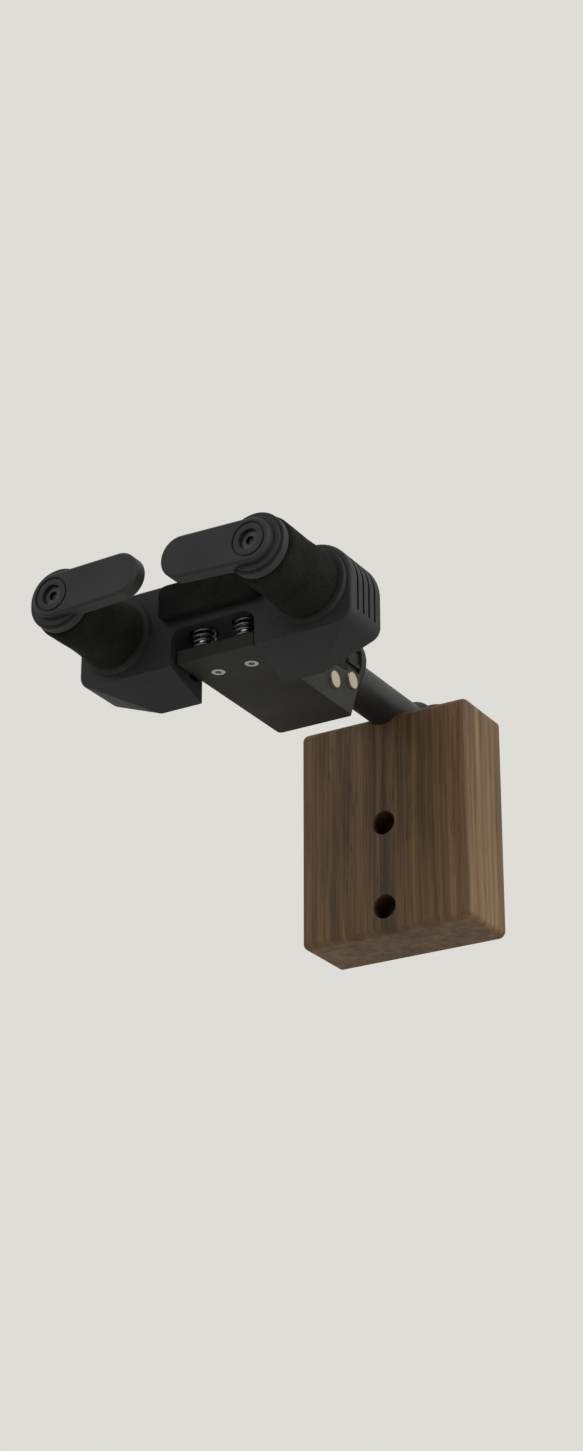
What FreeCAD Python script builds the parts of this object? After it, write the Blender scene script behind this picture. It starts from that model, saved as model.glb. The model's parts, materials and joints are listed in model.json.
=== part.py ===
"""Wall guitar hanger with a swivelling, self-closing yoke.

Frame: the origin is midway between the two wall screw holes, on the wall plane.
+Z is up, +X is to the right seen from the front, and the hanger stands out towards -Y.
A "reach" below is a distance out from the wall, so a point at reach r has Y = -r.
Every size is in millimetres and is driven by the sheet named sizes.
"""
import FreeCAD, Part
import math
import os
import re

import Sketcher

Vector = FreeCAD.Vector
Rotation = FreeCAD.Rotation
Placement = FreeCAD.Placement

doc = FreeCAD.newDocument("wall_guitar_hanger")
sheet = doc.addObject("Spreadsheet::Sheet", "sizes")

SIZES = {
    # wooden base block
    "base_width": 58.0,
    "base_height": 71.0,
    "base_depth": 22.0,
    "base_top": 49.0,
    "base_round": 2.2,
    "wall_hole_spacing": 27.0,
    "wall_hole_radius": 2.4,
    "wall_counterbore_radius": 3.8,
    "wall_counterbore_depth": 8.0,
    # steel plate let into the back of the block, with its four screws
    "plate_width": 32.0,
    "plate_thickness": 2.9,
    "plate_low": 19.0,
    "plate_top": 58.5,
    "plate_clearance": 0.2,
    "plate_screw_x": 9.5,
    "plate_screw_low": 24.5,
    "plate_screw_pitch": 15.0,
    "plate_screw_radius": 1.6,
    "plate_screw_head": 3.2,
    "plate_screw_reach": 15.0,
    # round support arm, its swivel spigot, and what is threaded on the spigot
    "arm_height": 52.6,
    "arm_radius": 6.35,
    "arm_reach": 50.0,
    "weld_size": 2.0,
    "spigot_radius": 4.0,
    "spigot_reach": 72.5,
    "washer_radius": 8.4,
    "washer_thickness": 1.1,
    "nut_flats": 13.0,
    "nut_thickness": 5.8,
    # swivel holder: round hub, web and forward tongue, moulded in two halves
    "holder_half_width": 12.5,
    "hub_radius": 10.0,
    "hub_disc_radius": 11.2,
    "hub_disc_thickness": 2.6,
    "hub_back": 51.2,
    "hub_front": 64.0,
    "bushing_wall": 1.5,
    "running_clearance": 0.05,
    "tongue_low": 30.6,
    "tongue_thickness": 4.0,
    "tongue_back": 62.0,
    "tongue_front": 117.4,
    "web_front": 84.0,
    "web_top": 46.0,
    "rivet_radius": 1.5,
    "rivet_head_radius": 2.5,
    "rivet_head_height": 0.8,
    # vertical slide of the yoke on two guide pins
    "travel": 4.7124,
    "pin_x": 7.0,
    "pin_reach": 112.2,
    "pin_radius": 2.0,
    "pin_low": 31.4,
    "pin_top": 52.6,
    "spring_radius": 3.2,
    "spring_wire": 0.38,
    # yoke body
    "tube_x": 32.0,
    "tube_height": 42.8,
    "shoulder_radius": 13.0,
    "yoke_low": 24.3,
    "yoke_flat_x": 27.0,
    "corner_slope": 20.4,
    "yoke_corner": 4.0,
    "yoke_back": 102.5,
    "cover_thickness": 2.5,
    "yoke_front": 119.0,
    "yoke_wall": 2.2,
    "yoke_edge": 1.0,
    "arch_half_width": 13.8,
    "arch_top": 41.0,
    "underside_slope": 18.4,
    "groove_count": 4.0,
    "groove_first": 105.9,
    "groove_pitch": 3.1,
    "groove_width": 1.0,
    "groove_depth": 0.6,
    "groove_low": 33.8,
    # gate drive: racks on the holder, pinions on the gate rods
    "gear_module": 0.5,
    "pinion_teeth": 12.0,
    "gear_back": 105.4,
    "gear_front": 108.4,
    "backlash": 0.14,
    "crossbar_low": 35.6,
    "crossbar_top": 37.6,
    "rack_teeth": 6.0,
    "rack_top": 49.4,
    "rack_depth": 2.8,
    # arm tubes, foam and gates
    "tube_radius": 7.0,
    "tube_bore": 5.0,
    "tube_back": 110.8,
    "tube_front": 145.1,
    "rod_radius": 3.0,
    "rod_tail_radius": 1.5,
    "rod_tail_front": 110.3,
    "rod_back": 103.4,
    "rod_front": 148.9,
    "foam_front_radius": 10.0,
    "foam_back_radius": 10.3,
    "foam_bore": 7.2,
    "foam_back": 120.8,
    "foam_front": 145.8,
    "collar_radius": 11.4,
    "collar_thickness": 1.6,
    "finger_back": 146.1,
    "finger_plate_back": 147.5,
    "finger_front": 151.9,
    "finger_length": 28.2,
    "finger_hub_radius": 6.6,
    "finger_collar_radius": 9.2,
    "finger_tip_radius": 6.3,
    "finger_bevel": 0.7,
    "finger_tilt": 2.2,
    "cap_radius": 2.8,
    # foam pad on the front of the bridge
    "pad_half_width": 17.0,
    "pad_low": 43.5,
    "pad_top": 54.4,
    "pad_thickness": 2.6,
    # screws of the rear cover
    "cover_screw_radius": 1.2,
    "cover_screw_head": 2.1,
    "cover_boss_radius": 2.5,
    "cover_screw_upper_x": 18.7,
    "cover_screw_upper_z": 51.6,
    "cover_screw_lower_x": 41.0,
    "cover_screw_lower_z": 34.2,
}
for row, (alias, value) in enumerate(SIZES.items(), start=1):
    sheet.set(f"A{row}", alias)
    sheet.set(f"B{row}", str(value))
    sheet.setAlias(f"B{row}", alias)
doc.recompute()

nodes = []

HANDS = (("left", "0 - "), ("right", ""))  # each side and the sign of its X
PITCH = "( gear_module * pinion_teeth / 2 )"  # pitch radius of the pinions
GEAR_MIDDLE = "( gear_back + gear_front ) / 2"
SPRING_SEAT = "( arch_top + yoke_wall )"  # height where the return springs bear on the yoke


def size(alias):
    """The value of one cell of the sheet, for shapes worked out in code."""
    return float(getattr(sheet, alias))


def in_sheet(formula):
    """Points the aliases in a formula at the sheet: "arm_reach + 1" reads "sizes.arm_reach + 1"."""
    return re.sub(r"[A-Za-z_]\w*", lambda m: "sizes." + m[0] if m[0] in SIZES else m[0], formula)


def bind(target, **formulas):
    """Binds properties of an object to formulas over the sheet; x, y and z are its base point."""
    for name, formula in formulas.items():
        where = ".Placement.Base." + name if name in ("x", "y", "z") else name
        target.setExpression(where, in_sheet(formula))
    return target


def node(label, source):
    """Marks an object as a finished sub-part, with the label that names its file."""
    source.Label = label
    nodes.append(source)
    return source


def box(name, x, reach, z):
    """A box from pairs of formulas: its X range, its range of reach and its Z range."""
    block = doc.addObject("Part::Box", name)
    return bind(
        block,
        Length=f"( {x[1]} ) - ( {x[0]} )",
        Width=f"( {reach[1]} ) - ( {reach[0]} )",
        Height=f"( {z[1]} ) - ( {z[0]} )",
        x=x[0],
        y=f"0 - ( {reach[1]} )",
        z=z[0],
    )


def rod_out(name, x, z, reach, radius):
    """A cylinder along Y, between two reaches."""
    bar = doc.addObject("Part::Cylinder", name)
    bar.Placement = Placement(Vector(), Rotation(Vector(1, 0, 0), 90))
    length = f"( {reach[1]} ) - ( {reach[0]} )"
    return bind(bar, Radius=radius, Height=length, x=x, y=f"0 - ( {reach[0]} )", z=z)


def rod_up(name, x, reach, z, radius):
    """A cylinder along Z, between two heights."""
    bar = doc.addObject("Part::Cylinder", name)
    height = f"( {z[1]} ) - ( {z[0]} )"
    return bind(bar, Radius=radius, Height=height, x=x, y=f"0 - ( {reach} )", z=z[0])


def rod_across(name, x, reach, z, radius):
    """A cylinder along X, between two X positions."""
    bar = doc.addObject("Part::Cylinder", name)
    bar.Placement = Placement(Vector(), Rotation(Vector(0, 1, 0), 90))
    length = f"( {x[1]} ) - ( {x[0]} )"
    return bind(bar, Radius=radius, Height=length, x=x[0], y=f"0 - ( {reach} )", z=z)


def cone_out(name, x, z, reach, radii):
    """A cone along Y, with its radius at the first and at the second reach."""
    taper = doc.addObject("Part::Cone", name)
    taper.Placement = Placement(Vector(), Rotation(Vector(1, 0, 0), 90))
    length = f"( {reach[1]} ) - ( {reach[0]} )"
    bind(taper, Radius1=radii[0], Radius2=radii[1], Height=length)
    return bind(taper, x=x, y=f"0 - ( {reach[0]} )", z=z)


def fuse(name, *shapes):
    """Joins shapes into one solid."""
    joined = doc.addObject("Part::MultiFuse", name)
    joined.Shapes = list(shapes)
    joined.Refine = True
    return joined


def group(name, *shapes):
    """Keeps identical fasteners together as separate solids."""
    bundle = doc.addObject("Part::Compound", name)
    bundle.Links = list(shapes)
    return bundle


def cut(name, base, *tools):
    """Takes tools away from a base."""
    removed = doc.addObject("Part::Cut", name)
    removed.Base = base
    removed.Tool = tools[0] if len(tools) == 1 else fuse(name + "_tools", *tools)
    removed.Refine = True
    return removed


def common(name, first, second):
    """What two shapes share."""
    shared = doc.addObject("Part::Common", name)
    shared.Base = first
    shared.Tool = second
    shared.Refine = True
    return shared


def polygon(sketch, points):
    """A closed outline through points given as pairs of formulas, each fixed from the origin."""
    values = [(float(evaluate(a)), float(evaluate(b))) for a, b in points]
    count = len(points)
    for index in range(count):
        start = Vector(*values[index], 0)
        end = Vector(*values[(index + 1) % count], 0)
        sketch.addGeometry(Part.LineSegment(start, end), False)
    for index in range(count):
        sketch.addConstraint(Sketcher.Constraint("Coincident", index, 2, (index + 1) % count, 1))
    for index, (a, b) in enumerate(points):
        for kind, formula, value in (("DistanceX", a, values[index][0]), ("DistanceY", b, values[index][1])):
            place = sketch.addConstraint(Sketcher.Constraint(kind, -1, 1, index, 1, value))
            sketch.setExpression(f"Constraints[{place}]", in_sheet(formula))


def evaluate(formula):
    """The value of a formula over the sheet."""
    return sheet.evalExpression(in_sheet(formula))


def circle(sketch, a, b, radius):
    """A circle in a sketch, its centre and radius given as formulas."""
    centre = Vector(float(evaluate(a)), float(evaluate(b)), 0)
    ring = sketch.addGeometry(Part.Circle(centre, Vector(0, 0, 1), float(evaluate(radius))), False)
    for kind, formula, value in (("DistanceX", a, centre.x), ("DistanceY", b, centre.y)):
        place = sketch.addConstraint(Sketcher.Constraint(kind, -1, 1, ring, 3, value))
        sketch.setExpression(f"Constraints[{place}]", in_sheet(formula))
    place = sketch.addConstraint(Sketcher.Constraint("Radius", ring, float(evaluate(radius))))
    sketch.setExpression(f"Constraints[{place}]", in_sheet(radius))


def prism_across(name, points, x):
    """A prism along X from an outline in (reach, Z), between two X positions."""
    outline = doc.addObject("Sketcher::SketchObject", name + "_outline")
    # the sketch's own X is the reach (-Y), its Y is up, and its normal is -X
    turn = FreeCAD.Matrix(0, 0, -1, 0, -1, 0, 0, 0, 0, 1, 0, 0, 0, 0, 0, 1)
    outline.Placement = Placement(turn)
    bind(outline, x=x[1])
    polygon(outline, points)
    solid = doc.addObject("Part::Extrusion", name)
    solid.Base = outline
    solid.DirMode = "Custom"
    solid.Dir = Vector(-1, 0, 0)
    solid.Solid = True
    return bind(solid, LengthFwd=f"( {x[1]} ) - ( {x[0]} )")


def prism_out(name, points, reach):
    """A prism along Y from an outline in (X, Z), between two reaches."""
    outline = doc.addObject("Sketcher::SketchObject", name + "_outline")
    outline.Placement = Placement(Vector(), Rotation(Vector(1, 0, 0), 90))
    bind(outline, y=f"0 - ( {reach[0]} )")
    polygon(outline, points)
    solid = doc.addObject("Part::Extrusion", name)
    solid.Base = outline
    solid.DirMode = "Custom"
    solid.Dir = Vector(0, -1, 0)
    solid.Solid = True
    return bind(solid, LengthFwd=f"( {reach[1]} ) - ( {reach[0]} )")


def new_body(name, plane="XZ_Plane"):
    """A PartDesign body and a function that starts a sketch on one of its origin planes."""
    body = doc.addObject("PartDesign::Body", name)

    def sketch_on(label, role=plane):
        drawing = body.newObject("Sketcher::SketchObject", label)
        base = [item for item in body.Origin.OriginFeatures if item.Role == role][0]
        drawing.AttachmentSupport = [(base, "")]
        drawing.MapMode = "FlatFace"
        return drawing

    return body, sketch_on


def pad(body, sketch, name, start, end):
    """A pad towards -Y between two reaches, from a sketch on the body's XZ plane."""
    bind(sketch, **{".AttachmentOffset.Base.z": start})
    block = body.newObject("PartDesign::Pad", name)
    block.Profile = sketch
    return bind(block, Length=f"( {end} ) - ( {start} )")


def faces_at(shape, axis, place):
    """Names of the flat faces square to an axis (0, 1 or 2) at one position along it."""
    names = []
    for index, face in enumerate(shape.Faces, start=1):
        limits = face.BoundBox
        low = (limits.XMin, limits.YMin, limits.ZMin)[axis]
        high = (limits.XMax, limits.YMax, limits.ZMax)[axis]
        if abs(low - place) < 0.01 and abs(high - place) < 0.01:
            names.append(f"Face{index}")
    return names


def mirrored(name, source):
    """The same piece on the other side of the hanger's middle plane."""
    twin = doc.addObject("Part::Mirroring", name)
    twin.Source = source
    twin.Normal = Vector(1, 0, 0)
    twin.Base = Vector(0, 0, 0)
    return twin


# ---------------------------------------------------------------- wall side


def make_base():
    """Walnut block: rounded all round, two counterbored wall screw holes, a saddle for the arm."""
    body, sketch_on = new_body("base_block")
    outline = sketch_on("base_outline")
    half = "base_width / 2"
    low = "base_top - base_height"
    corners = [("0 - " + half, low), (half, low), (half, "base_top"), ("0 - " + half, "base_top")]
    polygon(outline, corners)
    block = pad(body, outline, "base_pad", "0", "base_depth")
    doc.recompute()
    rounds = body.newObject("PartDesign::Fillet", "base_rounds")
    corner_edges = [
        f"Edge{index}"
        for index, edge in enumerate(block.Shape.Edges, start=1)
        if abs(edge.BoundBox.YLength - size("base_depth")) < 0.01
    ]
    rounds.Base = (block, faces_at(block.Shape, 1, -size("base_depth")) + corner_edges)
    bind(rounds, Radius="base_round")
    body.Tip = rounds
    tools = [rod_out("saddle", "0", "arm_height", ("0 - 1", "base_depth + 1"), "arm_radius + 0.15")]
    recess_x = "plate_width / 2 + plate_clearance"
    tools.append(
        box(
            "plate_recess",
            ("0 - ( " + recess_x + " )", recess_x),
            ("0 - 1", "plate_thickness + plate_clearance"),
            ("plate_low - plate_clearance", "base_top + 1"),
        )
    )
    for side, place in (("low", "0 - wall_hole_spacing / 2"), ("high", "wall_hole_spacing / 2")):
        shank = ("0 - 1", "base_depth + 1")
        head = ("base_depth - wall_counterbore_depth", "base_depth + 1")
        tools.append(rod_out(side + "_wall_hole", "0", place, shank, "wall_hole_radius"))
        tools.append(rod_out(side + "_wall_counterbore", "0", place, head, "wall_counterbore_radius"))
    for name, x, z in plate_screw_places():
        reach = ("1", "plate_screw_reach + 0.5")
        tools.append(rod_out("pilot_" + name, x, z, reach, "plate_screw_radius + 0.05"))
    node("wood_base", cut("base_cut", body, *tools))


def plate_screw_places():
    """The four plate screws: name, X and Z."""
    places = []
    for side, x in (("left", "0 - plate_screw_x"), ("right", "plate_screw_x")):
        for level, z in (("low", "plate_screw_low"), ("high", "plate_screw_low + plate_screw_pitch")):
            places.append((side + "_" + level, x, z))
    return places


def make_plate():
    """Back plate with a rounded head behind the arm, countersunk from the wall side."""
    half = "plate_width / 2"
    back = "plate_clearance / 2"
    front = "plate_thickness"
    flat = box("plate_flat", ("0 - " + half, half), (back, front), ("plate_low", "plate_top - 9"))
    tab = box("plate_tab", ("0 - 7", "7"), (back, front), ("plate_top - 10", "plate_top"))
    ears = [
        rod_out(side + "_plate_ear", x, "plate_top - 9", (back, front), "9")
        for side, x in (("left", "0 - 7"), ("right", "7"))
    ]
    tools = []
    for name, x, z in plate_screw_places():
        reach = ("0 - 1", "plate_thickness + 1")
        radii = ("plate_screw_head + 0.1", "plate_screw_radius + 0.1")
        tools.append(rod_out("plate_hole_" + name, x, z, reach, "plate_screw_radius + 0.1"))
        tools.append(cone_out("plate_sink_" + name, x, z, ("0", "2"), radii))
    node("back_plate", cut("plate_cut", fuse("plate_blank", flat, tab, *ears), *tools))


def make_plate_screws():
    """Four countersunk wood screws, driven from the back."""
    screws = []
    for name, x, z in plate_screw_places():
        head_radii = ("plate_screw_head - 0.25", "plate_screw_radius")
        head = cone_out("head_" + name, x, z, ("0.15", "1.9"), head_radii)
        shank = rod_out("shank_" + name, x, z, ("1.8", "plate_screw_reach - 3"), "plate_screw_radius")
        tip_reach = ("plate_screw_reach - 3", "plate_screw_reach")
        tip = cone_out("tip_" + name, x, z, tip_reach, ("plate_screw_radius", "0.3"))
        socket = rod_out("socket_" + name, x, z, ("0", "1.1"), "1.1")
        screws.append(cut("screw_" + name, fuse("screw_blank_" + name, head, shank, tip), socket))
    node("plate_screws", group("plate_screw_set", *screws))


def make_arm():
    """Round steel arm with its weld to the plate, and the thinner spigot that the holder turns on."""
    arm = rod_out("arm_bar", "0", "arm_height", ("plate_thickness", "arm_reach"), "arm_radius")
    weld_reach = ("plate_thickness", "plate_thickness + weld_size")
    weld = cone_out("arm_weld", "0", "arm_height", weld_reach, ("arm_radius + weld_size", "arm_radius"))
    spigot_ends = ("arm_reach - 1", "spigot_reach - 0.8")
    spigot = rod_out("arm_spigot", "0", "arm_height", spigot_ends, "spigot_radius")
    tip_reach = ("spigot_reach - 0.8", "spigot_reach")
    tip = cone_out("arm_tip", "0", "arm_height", tip_reach, ("spigot_radius", "spigot_radius - 0.8"))
    below = box("weld_relief", ("0 - 12", "12"), ("0", "base_depth"), ("0", "base_top"))
    trimmed = cut("arm_weld_trimmed", weld, below)
    node("support_arm", fuse("arm_solid", arm, trimmed, spigot, tip))


def ring(name, x, z, reach, outer, inner):
    """A washer, collar or bush along Y."""
    bore = (f"{reach[0]} - 1", f"{reach[1]} + 1")
    outside = rod_out(name + "_outside", x, z, reach, outer)
    return cut(name, outside, rod_out(name + "_bore", x, z, bore, inner))


def make_swivel_hardware():
    """Nylon washer behind the hub, steel washer and hexagon lock nut in front of it."""
    bore = "spigot_radius + 0.02"
    thrust = ("arm_reach + 0.02", "arm_reach + 0.02 + washer_thickness")
    node("thrust_washer", ring("thrust", "0", "arm_height", thrust, "washer_radius", bore))
    plain = ("hub_front + 0.1", "hub_front + 0.1 + washer_thickness")
    node("plain_washer", ring("plain", "0", "arm_height", plain, "washer_radius - 0.6", bore))
    body, sketch_on = new_body("nut_body")
    outline = sketch_on("nut_outline")
    corner = size("nut_flats") / math.sqrt(3)
    shape = [
        (f"nut_flats / sqrt(3) * {math.cos(math.radians(60 * step)):.6f}",
         f"arm_height + nut_flats / sqrt(3) * {math.sin(math.radians(60 * step)):.6f}")
        for step in range(6)
    ]
    polygon(outline, shape)
    nut_back = "hub_front + 0.12 + washer_thickness"
    pad(body, outline, "nut_pad", nut_back, nut_back + " + nut_thickness")
    doc.recompute()
    reach = (nut_back, nut_back + " + nut_thickness")
    dome = cone_out("nut_dome", "0", "arm_height", reach, (f"{corner:.3f} * 1.25", f"{corner:.3f} * 0.93"))
    hole = (nut_back + " - 1", nut_back + " + nut_thickness + 1")
    bore_tool = rod_out("nut_bore", "0", "arm_height", hole, bore)
    node("lock_nut", cut("nut_cut", common("nut_shaped", body, dome), bore_tool))


# ---------------------------------------------------------------- swivel holder


def rivet_places():
    """The two holder rivets: name, reach and Z."""
    return (("front", "73.1", "37.7"), ("rear", "62.9", "41.4"))


def make_holder():
    """Hub, web and tongue as a left and a right moulding that meet on the middle plane."""
    tongue_top = "tongue_low + tongue_thickness"
    profile = [
        ("tongue_back", "tongue_low"),
        ("tongue_front", "tongue_low"),
        ("tongue_front", tongue_top),
        ("web_front", tongue_top),
        ("web_front - 6.6", "web_top - 4.6"),
        ("hub_front + 7.5", "web_top - 2.3"),
        ("hub_front + 0.5", "web_top - 1.7"),
        ("hub_front - 1", "web_top"),
        ("hub_back + 4.6", "web_top"),
    ]
    half = "holder_half_width"
    web = prism_across("holder_web", profile, ("0 - " + half, half))
    softened = doc.addObject("Part::Fillet", "holder_softened")
    softened.Base = web
    doc.recompute()
    web_end = size("hub_front") + 14
    above_tongue = size("tongue_low") + size("tongue_thickness") + 1
    softened.Edges = [
        (index, 1.2, 1.2)
        for index, edge in enumerate(web.Shape.Edges, start=1)
        if edge.BoundBox.XLength < 0.01
        and abs(abs(edge.BoundBox.XMax) - size("holder_half_width")) < 0.01
        and -edge.BoundBox.YMin < web_end
        and edge.BoundBox.ZMax > above_tongue
    ]
    hub = rod_out("holder_hub", "0", "arm_height", ("hub_back", "hub_front"), "hub_radius")
    disc_reach = ("hub_back", "hub_back + hub_disc_thickness")
    disc = rod_out("holder_disc", "0", "arm_height", disc_reach, "hub_disc_radius")
    ribs = [hub_rib(step) for step in range(12)]
    solid = fuse("holder_solid", softened, hub, disc, *ribs)

    bush = "spigot_radius + running_clearance + bushing_wall + 0.02"
    tools = [rod_out("holder_bore", "0", "arm_height", ("hub_back - 1", "hub_front + 1"), bush)]
    ends = ("0 - ( " + half + " + 1 )", half + " + 1")
    for name, reach, z in rivet_places():
        tools.append(rod_across(name + "_rivet_hole", ends, reach, z, "rivet_radius + 0.04"))
    for side, sign in HANDS:
        z = ("pin_low - 0.02", "pin_top")
        tools.append(rod_up(side + "_pin_seat", sign + "pin_x", "pin_reach", z, "pin_radius + 0.02"))
    for name, x in rack_screw_places():
        shank = ("tongue_low - 1", tongue_top + " + 1")
        head = ("tongue_low - 1", "tongue_low + 1.5")
        tools.append(rod_up(name + "_tongue_hole", x, GEAR_MIDDLE, shank, "cover_screw_radius + 0.05"))
        tools.append(rod_up(name + "_tongue_sink", x, GEAR_MIDDLE, head, "cover_screw_head + 0.1"))
    whole = cut("holder_cut", solid, *tools)
    for side, x in (("left", ("0 - 30", "0 - 0.02")), ("right", ("0.02", "30"))):
        slab = box(side + "_holder_side", x, ("hub_back - 5", "tongue_front + 5"), ("0", "90"))
        node("swivel_holder_" + side, common(side + "_holder_half", whole, slab))
    inner = "spigot_radius + running_clearance"
    bush_ends = ("hub_back + 0.1", "hub_front - 0.1")
    node("swivel_bushing", ring("bush", "0", "arm_height", bush_ends, inner + " + bushing_wall", inner))


def hub_rib(step):
    """One of twelve low ribs along the hub, 30 degrees apart."""
    half = 0.55
    rib = doc.addObject("Part::Box", f"hub_rib_{step}")
    turn = Rotation(Vector(0, 1, 0), 30 * step + 15)
    corner = turn.multVec(Vector(-half, 0, 0))
    rib.Placement = Placement(corner, turn)
    bind(rib, Length=f"{2 * half}", Width="hub_front - hub_back - 4.5", Height="hub_disc_radius - 0.4")
    return bind(rib, y="0 - ( hub_front - 3.5 )", z=f"arm_height + {corner.z:.6f}")


def make_holder_rivets():
    """Two plated rivets that clamp the holder's halves; their round heads stand on both cheeks."""
    inner = "holder_half_width + 0.02"
    outer = "holder_half_width + rivet_head_height"
    minus_inner = "0 - ( " + inner + " )"
    rivets = []
    for name, reach, z in rivet_places():
        shank = (minus_inner + " - 0.1", inner + " + 0.1")
        parts = [rod_across(name + "_shank", shank, reach, z, "rivet_radius")]
        for side, x in (("left", ("0 - ( " + outer + " )", minus_inner)), ("right", (inner, outer))):
            parts.append(rod_across(f"{name}_{side}_rivet_head", x, reach, z, "rivet_head_radius"))
        rivets.append(fuse(name + "_rivet", *parts))
    node("holder_rivets", group("rivet_set", *rivets))


def make_guides():
    """Two guide pins in the tongue, and the return springs round them, closed up as when loaded."""
    pins = []
    for side, sign in HANDS:
        x = sign + "pin_x"
        straight = rod_up(side + "_pin", x, "pin_reach", ("pin_low", "pin_top - 0.6"), "pin_radius")
        tip = doc.addObject("Part::Cone", side + "_pin_tip")
        bind(tip, Radius1="pin_radius", Radius2="pin_radius - 0.6", Height="0.6")
        bind(tip, x=x, y="0 - pin_reach", z="pin_top - 0.6")
        pins.append(fuse(side + "_guide_pin", straight, tip))
    node("guide_pins", group("guide_pin_set", *pins))

    floor = evaluate("tongue_low + tongue_thickness + spring_wire + 0.03")
    roof = evaluate(SPRING_SEAT + " - spring_wire - 0.05")
    turns = 5.0
    coils = []
    for sign in (-1, 1):
        helix = Part.makeHelix((roof - floor) / turns, roof - floor, size("spring_radius"))
        wire = Part.Wire(helix.Edges)
        start = Vector(size("spring_radius"), 0, 0)
        section = Part.Wire([Part.makeCircle(size("spring_wire"), start, Vector(0, 1, 0))])
        coil = wire.makePipeShell([section], True, True)
        coil.translate(Vector(sign * size("pin_x"), -size("pin_reach"), floor))
        coils.append(coil)
    springs = doc.addObject("Part::Feature", "spring_set")
    springs.Shape = Part.makeCompound(coils)
    node("return_springs", springs)


# ---------------------------------------------------------------- gate drive


def rack_screw_places():
    """The two screws that hold the crossbar on the tongue: name and X."""
    return (("left_rack_screw", "0 - 5.5"), ("right_rack_screw", "5.5"))


def make_crossbar():
    """Steel crossbar on the tongue that carries both racks, with its two screws."""
    seat = "tongue_low + tongue_thickness"
    end = f"tube_x + {PITCH} + rack_depth"
    reach = ("gear_back", "gear_front")
    bar = box("crossbar_flat", ("0 - ( " + end + " )", end), reach, ("crossbar_low", "crossbar_top"))
    foot = box("crossbar_foot", ("0 - 12", "12"), reach, (seat, "crossbar_low + 0.5"))
    holes = []
    screws = []
    for name, x in rack_screw_places():
        through = (seat + " - 1", "crossbar_top + 1")
        holes.append(rod_up(name + "_bar_hole", x, GEAR_MIDDLE, through, "cover_screw_radius + 0.05"))
        head_z = ("tongue_low + 0.15", "tongue_low + 1.45")
        head = rod_up(name + "_head", x, GEAR_MIDDLE, head_z, "cover_screw_head - 0.1")
        shank_z = ("tongue_low + 1.4", "crossbar_top - 0.2")
        shank = rod_up(name + "_shank", x, GEAR_MIDDLE, shank_z, "cover_screw_radius")
        socket = rod_up(name + "_socket", x, GEAR_MIDDLE, ("tongue_low", "tongue_low + 0.9"), "0.9")
        screws.append(cut(name, fuse(name + "_blank", head, shank), socket))
    node("rack_crossbar", cut("crossbar_cut", fuse("crossbar_blank", bar, foot), *holes))
    node("rack_screws", group("rack_screw_set", *screws))


def make_racks():
    """Upright racks outboard of the pinions, teeth facing inward, one space level with the axis."""
    body, sketch_on = new_body("rack_body")
    reach = ("gear_back + 0.1", "gear_front - 0.1")
    root = f"tube_x + {PITCH} + gear_module * 1.25"
    back = f"tube_x + {PITCH} + rack_depth"
    outline = sketch_on("rack_outline")
    corners = [(root, "crossbar_top"), (back, "crossbar_top"), (back, "rack_top"), (root, "rack_top")]
    polygon(outline, corners)
    pad(body, outline, "rack_strip", *reach)

    # straight flanks at a 20 degree pressure angle, thinned by the backlash
    lean = f"{math.tan(math.radians(20)):.6f}"
    step = f"gear_module * {math.pi:.8f}"
    first = f"tube_height - 1.5 * {step}"
    half_thickness = f"( {step} / 4 - backlash / 2 )"
    tip_half = f"( {half_thickness} - gear_module * 0.9 * {lean} )"
    root_half = f"( {half_thickness} + gear_module * 1.25 * {lean} )"
    tip = f"tube_x + {PITCH} - gear_module * 0.9"
    inside = root + " + 0.2"
    lower = [(inside, root_half), (root, root_half), (tip, tip_half)]
    points = [(x, f"{first} - {half}") for x, half in lower]
    points += [(x, f"{first} + {half}") for x, half in reversed(lower)]
    tooth = sketch_on("rack_tooth_outline")
    polygon(tooth, points)
    pad(body, tooth, "rack_tooth", *reach)
    doc.recompute()
    row = body.newObject("PartDesign::LinearPattern", "rack_teeth")
    row.Originals = [doc.getObject("rack_tooth")]
    row.Direction = (outline, ["V_Axis"])
    row.Occurrences = int(size("rack_teeth"))
    bind(row, Length=f"{step} * ( rack_teeth - 1 )")
    body.Tip = row
    node("right_rack", body)
    node("left_rack", mirrored("left_rack_twin", body))


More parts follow.
